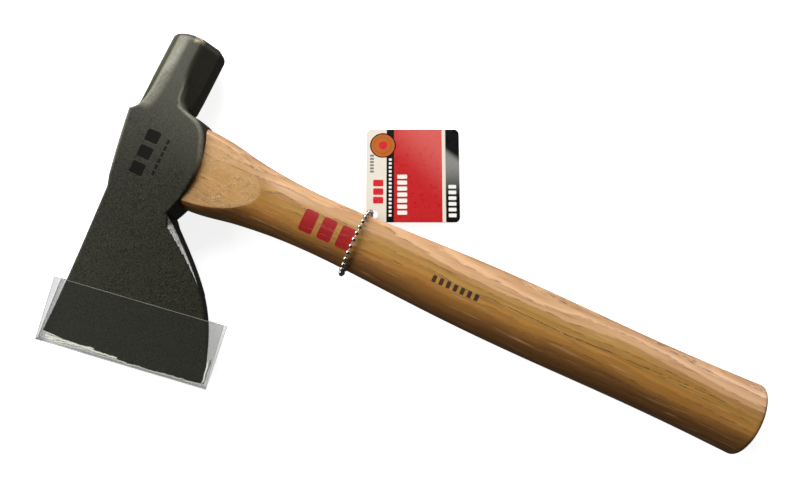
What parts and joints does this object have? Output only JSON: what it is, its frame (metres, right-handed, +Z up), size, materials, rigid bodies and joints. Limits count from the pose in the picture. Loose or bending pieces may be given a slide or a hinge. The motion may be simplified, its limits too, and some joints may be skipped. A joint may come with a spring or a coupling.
{
  "type": "hatchet",
  "caption": "Half hatchet with hammer poll, wedged wooden handle, clear sliding blade guard, and a hang tag on a ball chain round the neck.",
  "frame": {"origin": "on the resting cheek of the head, under the centre of the eye", "axes": "+X along the handle from the head to the butt, +Y from the blade to the poll, +Z up through the cheeks; the hatchet lies on its cheek on z=0"},
  "size_m": [0.3366, 0.183, 0.0264],
  "materials": {
    "head_paint": "satin dark olive-grey paint on forged steel",
    "hickory": "clear-lacquered hickory",
    "wedge_wood": "bare wood",
    "wedge_steel": "plain steel",
    "guard_film": "clear folded plastic sheet",
    "tag_card": "printed laminated card",
    "chain_nickel": "nickel-plated"
  },
  "bodies": {
    "tool": {"head": "head_paint", "handle": "hickory", "wood_wedge": "wedge_wood", "steel_wedge_upper": "wedge_steel", "steel_wedge_lower": "wedge_steel"},
    "guard": {"blade_guard": "guard_film"},
    "chain": {"chain_connector": "chain_nickel", "chain_links": "chain_nickel", "chain_bead_01": "chain_nickel", "chain_bead_02": "chain_nickel", "chain_bead_03": "chain_nickel", "chain_bead_04": "chain_nickel", "chain_bead_05": "chain_nickel", "chain_bead_06": "chain_nickel", "chain_bead_07": "chain_nickel", "chain_bead_08": "chain_nickel", "chain_bead_09": "chain_nickel", "chain_bead_10": "chain_nickel", "chain_bead_11": "chain_nickel", "chain_bead_12": "chain_nickel", "chain_bead_13": "chain_nickel", "chain_bead_14": "chain_nickel", "chain_bead_15": "chain_nickel", "chain_bead_16": "chain_nickel", "chain_bead_17": "chain_nickel", "chain_bead_18": "chain_nickel", "chain_bead_19": "chain_nickel", "chain_bead_20": "chain_nickel", "chain_bead_21": "chain_nickel", "chain_bead_22": "chain_nickel", "chain_bead_23": "chain_nickel", "chain_bead_24": "chain_nickel", "chain_bead_25": "chain_nickel", "chain_bead_26": "chain_nickel", "chain_bead_27": "chain_nickel", "chain_bead_28": "chain_nickel"},
    "tag": {"hang_tag": "tag_card"}
  },
  "joints": [
    {"name": "guard_slide", "type": "slide", "parent": "tool", "child": "guard", "axis": [0.1478, -0.989, 0], "range_m": [0, 0.04]},
    {"name": "chain_slide", "type": "slide", "parent": "tool", "child": "chain", "axis": [1, 0, 0], "range_m": [-0.025, 0.003]},
    {"name": "tag_swing", "type": "hinge", "parent": "chain", "child": "tag", "pos_m": [0.1052, 0.0176, 0.0033], "axis": [0, 0, 1], "range_deg": [-20, 50]}
  ]
}
